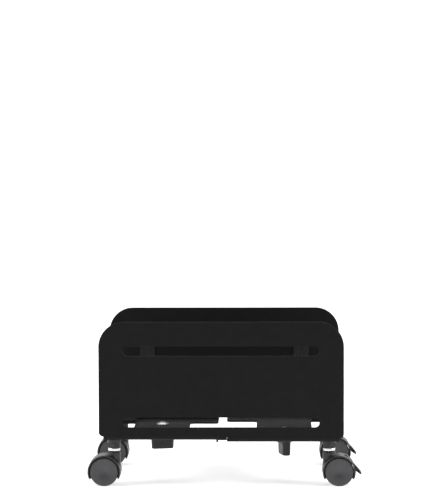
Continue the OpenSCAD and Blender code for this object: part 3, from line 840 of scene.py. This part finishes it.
def add_casters():
    reach = TRAIL + FENDER_R
    low, high = (-8, -HOOD_W / 2, HOOD_LOW - 1), (reach, HOOD_W / 2, BOSS_TOP)
    hoods = {braked: skin_mesh("hood", hood_field(braked), low, high, 0.45) for braked in (False, True)}
    lever = skin_mesh("lever", lever_field, (TRAIL + 4, -FOOT_W / 2, 9), (TRAIL + 26, FOOT_W / 2, 34), 0.33)
    wheel = wheel_mesh()
    for corner, (side_x, side_y) in CORNERS.items():
        spot = at_corner(corner)
        body = corner + "_caster"
        place(corner + "_twin_hood", hoods[corner in BRAKED], body, "hood_nylon", [corner + "_hood"], spot)
        if corner in BRAKED:
            side = BRAKED[corner]
            place(side + "_foot_lever", lever, side + "_brake", "lever_nylon", [side + "_brake_lever"], spot)
        hub = Vector(((PLATE_MIDDLE + side_x * (STEM_X + TRAIL)) * MM, side_y * STEM_Y * MM, AXLE_Z * MM))
        for end, turn in (("front", 0), ("back", math.pi)):
            name = corner + "_" + end
            place(name + "_ribbed_wheel", wheel, name + "_wheel_body", "wheel_nylon",
                  [name + "_wheel"], Matrix.Translation(hub) @ Matrix.Rotation(turn, 4, "Z"))


def add_knobs():
    half = WING_LEN / 2
    for clamp, turn in WING_TURN.items():
        low, high = (-half, -half, KNOB_BOTTOM), (half, half, KNOB_TOP)
        mesh = skin_mesh("knob", knob_field(turn), low, high, 0.45)
        place(clamp + "_wing_knob", mesh, clamp + "_clamp_knob", "knob_plastic",
              [clamp + "_knob"], at_clamp(clamp))


# ---------------------------------------------------------------- rubber parts

def grooved_block(low, high, axis, face, pitch, groove):
    """Block with rounded edges, and round-bottomed grooves across one axis in one of its faces."""
    centre = (np.array(low) + np.array(high)) / 2
    half = (np.array(high) - np.array(low)) / 2
    outermost = pitch * (math.floor(half[axis] / pitch - 0.4) + 0.5)

    def field(*point):
        sides = [np.abs(p - c) - h for p, c, h in zip(point, centre, half)]
        body = meet(meet(sides[0], sides[1], 0.5), sides[2], 0.5)
        along = point[axis] - centre[axis]
        nearest = along - pitch * np.round(along / pitch)
        nearest = np.where(np.abs(along) > outermost, pitch, nearest)
        trough = np.hypot(nearest, point[face] - centre[face] - half[face]) - groove
        return carve(body, trough, 0.2)
    return field


def add_rubber_parts():
    """Pads on the corners of the base and strips inside the side plates."""
    strip_middle = (UPPER_SLOT_Z + LOWER_SLOT_Z) / 2
    pad_y = PLATE_FACE + BEND_R + 1
    pads, strips = {}, {}
    for sign, z in ((-1, UPPER_Z + SHEET), (1, BASE_Z + SHEET)):
        low = (sign * PAD_X - PAD_LEN / 2, pad_y, z)
        high = (sign * PAD_X + PAD_LEN / 2, pad_y + PAD_DEPTH, PAD_TOP)
        pads[sign] = skin_mesh("corner_pad", grooved_block(low, high, 0, 2, 3.0, 0.6), low, high, 0.4)
        low = (sign * STRIP_X - STRIP_W / 2, PLATE_FACE + SHEET, strip_middle - STRIP_H / 2)
        high = (sign * STRIP_X + STRIP_W / 2, PLATE_FACE + SHEET + STRIP_T, strip_middle + STRIP_H / 2)
        strips[sign] = skin_mesh("side_strip", grooved_block(low, high, 0, 1, 2.5, 0.5), low, high, 0.35)
    for side, (body, _) in SIDES.items():
        for meshes, kind in ((pads, "corner_pad"), (strips, "side_strip")):
            made = [place(f"{side}_{kind}_{end}", meshes[sign], body, "rubber", [], at_side(side))
                    for end, sign in (("low", 1), ("high", -1))]
            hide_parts(f"{side}_{kind}s")


# ---------------------------------------------------------------- materials

class Surface:
    """A node-based Principled material whose texture follows the piece's own coordinates, in metres."""

    def __init__(self, name):
        self.material = bpy.data.materials.new(name)
        self.material.use_nodes = True
        self.tree = self.material.node_tree
        self.shader = self.tree.nodes["Principled BSDF"]
        self.place = self.tree.nodes.new("ShaderNodeTexCoord").outputs["Object"]

    def noise(self, size_mm, detail=3.0, roughness=0.5, stretch=None):
        """Noise whose features are about size_mm across."""
        node = self.tree.nodes.new("ShaderNodeTexNoise")
        node.inputs["Scale"].default_value = 1 / (size_mm * MM)
        node.inputs["Detail"].default_value = detail
        node.inputs["Roughness"].default_value = roughness
        self.tree.links.new(self.stretched(stretch), node.inputs["Vector"])
        return node.outputs["Fac"]

    def stretched(self, scale):
        if scale is None:
            return self.place
        node = self.tree.nodes.new("ShaderNodeMapping")
        node.inputs["Scale"].default_value = scale
        self.tree.links.new(self.place, node.inputs["Vector"])
        return node.outputs["Vector"]

    def cells(self, size_mm):
        """Distance to the middle of rounded cells about size_mm across."""
        node = self.tree.nodes.new("ShaderNodeTexVoronoi")
        node.feature = "SMOOTH_F1"
        node.inputs["Scale"].default_value = 1 / (size_mm * MM)
        self.tree.links.new(self.place, node.inputs["Vector"])
        return node.outputs["Distance"]

    def lathe_marks(self, pitch_mm):
        """Fine rings around the Z axis, as turning leaves them."""
        node = self.tree.nodes.new("ShaderNodeTexWave")
        node.wave_type = "BANDS"
        node.bands_direction = "Z"
        node.inputs["Scale"].default_value = 1 / (pitch_mm * MM) / 20
        node.inputs["Distortion"].default_value = 1.5
        node.inputs["Detail"].default_value = 3.0
        self.tree.links.new(self.place, node.inputs["Vector"])
        return node.outputs["Fac"]

    def ranged(self, value, low, high, start=0.3, end=0.7):
        node = self.tree.nodes.new("ShaderNodeMapRange")
        for socket, number in (("From Min", start), ("From Max", end), ("To Min", low), ("To Max", high)):
            node.inputs[socket].default_value = number
        self.tree.links.new(value, node.inputs["Value"])
        return node.outputs["Result"]

    def colour(self, value, dark, light):
        """Base colour between two tones, by a texture value."""
        node = self.tree.nodes.new("ShaderNodeMix")
        node.data_type = "RGBA"
        node.inputs["A"].default_value = (*dark, 1)
        node.inputs["B"].default_value = (*light, 1)
        self.tree.links.new(self.ranged(value, 0, 1), node.inputs["Factor"])
        self.tree.links.new(node.outputs["Result"], self.shader.inputs["Base Color"])

    def gloss(self, value, low, high):
        self.tree.links.new(self.ranged(value, low, high), self.shader.inputs["Roughness"])

    def relief(self, *layers):
        """Bumps from (texture value, height in millimetres) pairs, one on top of the other."""
        normal = None
        for value, height in layers:
            bump = self.tree.nodes.new("ShaderNodeBump")
            bump.inputs["Strength"].default_value = 1.0
            bump.inputs["Distance"].default_value = height * MM
            self.tree.links.new(value, bump.inputs["Height"])
            if normal is not None:
                self.tree.links.new(normal, bump.inputs["Normal"])
            normal = bump.outputs["Normal"]
        self.tree.links.new(normal, self.shader.inputs["Normal"])

    def numbers(self, **values):
        for name, value in values.items():
            self.shader.inputs[name.replace("_", " ")].default_value = value


def tones(colour, spread):
    """A darker and a lighter tone about one colour."""
    return [[c * (1 - spread) for c in colour], [c * (1 + spread) for c in colour]]


def powder_coat():
    """Black powder coat: fine orange peel, with a slow change of gloss."""
    surface = Surface("black powder coat")
    surface.colour(surface.noise(9), *tones((0.0085, 0.0078, 0.0085), 0.10))
    surface.gloss(surface.noise(4), 0.50, 0.58)
    surface.relief((surface.noise(1.6, 2), 0.010), (surface.noise(0.45, 1), 0.006))
    surface.numbers(Specular_IOR_Level=0.14)
    return surface.material


def painted_nut():
    """Black paint over the welded nut and spacer, a little thicker and glossier than on the sheet."""
    surface = Surface("black paint on steel")
    surface.colour(surface.noise(2), *tones((0.016, 0.015, 0.016), 0.15))
    surface.gloss(surface.noise(1.5), 0.34, 0.46)
    surface.relief((surface.noise(1.2, 2), 0.02))
    surface.numbers(Specular_IOR_Level=0.5)
    return surface.material


def moulded(name, colour, roughness, grain_mm, depth_mm, specular):
    """Moulded plastic: spark-eroded grain, faint flow shading and uneven gloss."""
    surface = Surface(name)
    surface.colour(surface.noise(5, 4), *tones(colour, 0.07))
    surface.gloss(surface.noise(2.5, 4), roughness - 0.05, roughness + 0.05)
    surface.relief((surface.noise(3.0, 2), depth_mm), (surface.cells(grain_mm), depth_mm))
    surface.numbers(Specular_IOR_Level=specular)
    return surface.material


def rubber():
    surface = Surface("black rubber")
    surface.colour(surface.noise(3, 5), *tones((0.018, 0.018, 0.019), 0.25))
    surface.gloss(surface.noise(1.5, 3), 0.74, 0.9)
    surface.relief((surface.noise(0.6, 3), 0.03))
    surface.numbers(Specular_IOR_Level=0.3)
    return surface.material


def metal(name, colour, low, high, marks_mm):
    """Plated or turned metal with fine turning marks and cloudy gloss."""
    surface = Surface(name)
    surface.colour(surface.noise(2.5, 4), *tones(colour, 0.06))
    surface.gloss(surface.noise(1.0, 4), low, high)
    surface.relief((surface.lathe_marks(marks_mm), 0.004), (surface.noise(0.5, 2), 0.003))
    surface.numbers(Metallic=1.0)
    return surface.material


def all_materials():
    """One material for each slot of the record."""
    return {
        "powder_coat": powder_coat(),
        "painted_nut": painted_nut(),
        "rubber": rubber(),
        "zinc": metal("bright zinc", (0.86, 0.87, 0.89), 0.22, 0.34, 0.25),
        "spring_steel": metal("spring steel", (0.45, 0.45, 0.47), 0.3, 0.42, 0.2),
        "brass": metal("turned brass", (0.72, 0.5, 0.22), 0.25, 0.36, 0.3),
        "knob_plastic": moulded("knob plastic", (0.012, 0.0115, 0.012), 0.42, 0.5, 0.012, 0.4),
        "hood_nylon": moulded("hood nylon", (0.030, 0.029, 0.031), 0.40, 0.45, 0.012, 0.5),
        "wheel_nylon": moulded("wheel nylon", (0.055, 0.053, 0.057), 0.36, 0.4, 0.006, 0.5),
        "lever_nylon": moulded("lever nylon", (0.008, 0.008, 0.008), 0.42, 0.4, 0.010, 0.4),
    }


def paint_pieces():
    """Gives every new piece and every CAD node that still shows its material."""
    materials = all_materials()
    carried = {"axle": "zinc", "brake_pin": "zinc", "grip_ring": "spring_steel", "knob_insert": "brass"}
    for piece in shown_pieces():
        slot = piece.get("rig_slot") or next(carried[kind] for kind in carried if piece.name.endswith(kind))
        if not piece.data.materials:
            piece.data.materials.append(None)
        for holder in piece.material_slots:
            holder.link = "OBJECT"
            holder.material = materials[slot]


# ---------------------------------------------------------------- camera, light and floor

def add_camera():
    """Camera straight in front of the near plate, a little to the right of it and above it."""
    right, back, height = 51.80, 2681.5, 424.05
    yaw, pitch, roll = math.radians(1.165), math.radians(3.495), math.radians(-0.164)
    data = bpy.data.cameras.new("camera")
    data.sensor_width = 36.0
    data.lens = 167.76
    data.clip_start, data.clip_end = 0.1, 50
    camera = bpy.data.objects.new("camera", data)
    bpy.context.scene.collection.objects.link(camera)
    camera.location = Vector((PLATE_MIDDLE + right, -back, height)) * MM
    forward = Vector((-math.sin(yaw) * math.cos(pitch), math.cos(yaw) * math.cos(pitch), -math.sin(pitch)))
    level = forward.to_track_quat("-Z", "Y").to_matrix()
    camera.rotation_euler = (level @ Matrix.Rotation(roll, 3, "Z")).to_euler()
    bpy.context.scene.camera = camera


def add_softbox(name, place_m, size_m, power, aim=(0, 0, 0.06)):
    data = bpy.data.lights.new(name, "AREA")
    data.shape = "RECTANGLE"
    data.size, data.size_y = size_m
    data.energy = power
    light = bpy.data.objects.new(name, data)
    bpy.context.scene.collection.objects.link(light)
    light.location = place_m
    light.rotation_euler = (Vector(aim) - Vector(place_m)).to_track_quat("-Z", "Y").to_euler()


def stage_material(name, colour, strength):
    """Matt white paper with a faint tooth; strength is what it gives off itself."""
    surface = Surface(name)
    surface.colour(surface.noise(30, 2), *tones(colour, 0.01))
    surface.relief((surface.noise(2.0, 2), 0.02))
    surface.numbers(Roughness=0.9, Specular_IOR_Level=0.1, Emission_Strength=strength)
    surface.shader.inputs["Emission Color"].default_value = (1, 1, 1, 1)
    return surface.material


def add_stage():
    """White floor that curves up into a white wall behind the object."""
    half_width, front, bend_y, radius, top = 6.0, -5.0, 2.2, 1.0, 4.0
    section = [(front, 0.0)]
    section += arc(bend_y, radius, radius, -90, 0, 16)
    section += [(bend_y + radius, top)]
    points = [(x, y, z) for y, z in section for x in (-half_width, half_width)]
    faces = [(2 * i, 2 * i + 1, 2 * i + 3, 2 * i + 2) for i in range(len(section) - 1)]
    mesh = bpy.data.meshes.new("sweep")
    mesh.from_pydata(points, [], faces)
    mesh.shade_smooth()
    mesh.materials.append(stage_material("white paper", (0.92, 0.92, 0.92), 0.6))
    sweep = bpy.data.objects.new("sweep", mesh)
    bpy.context.scene.collection.objects.link(sweep)


def add_light():
    add_softbox("back softbox", (0, 1.2, 2.6), (3.6, 2.6), 36)
    add_softbox("left softbox", (-1.5, -0.5, 1.0), (0.9, 0.9), 18)
    add_softbox("right softbox", (1.5, -0.5, 1.0), (0.9, 0.9), 18)
    # The room is white to the camera, and lights the object only faintly
    room_light, seen_white = 0.06, 1.0
    world = bpy.data.worlds.new("room")
    world.use_nodes = True
    tree = world.node_tree
    tree.nodes["Background"].inputs["Color"].default_value = (1, 1, 1, 1)
    seen = tree.nodes.new("ShaderNodeLightPath")
    strength = tree.nodes.new("ShaderNodeMapRange")
    strength.inputs["To Min"].default_value = room_light
    strength.inputs["To Max"].default_value = seen_white
    tree.links.new(seen.outputs["Is Camera Ray"], strength.inputs["Value"])
    tree.links.new(strength.outputs["Result"], tree.nodes["Background"].inputs["Strength"])
    bpy.context.scene.world = world
    bpy.context.scene.view_settings.view_transform = "Standard"
    bpy.context.scene.view_settings.look = "None"


add_camera()
add_brackets()
add_turned_parts()
add_casters()
add_knobs()
add_rubber_parts()
paint_pieces()
add_stage()
add_light()
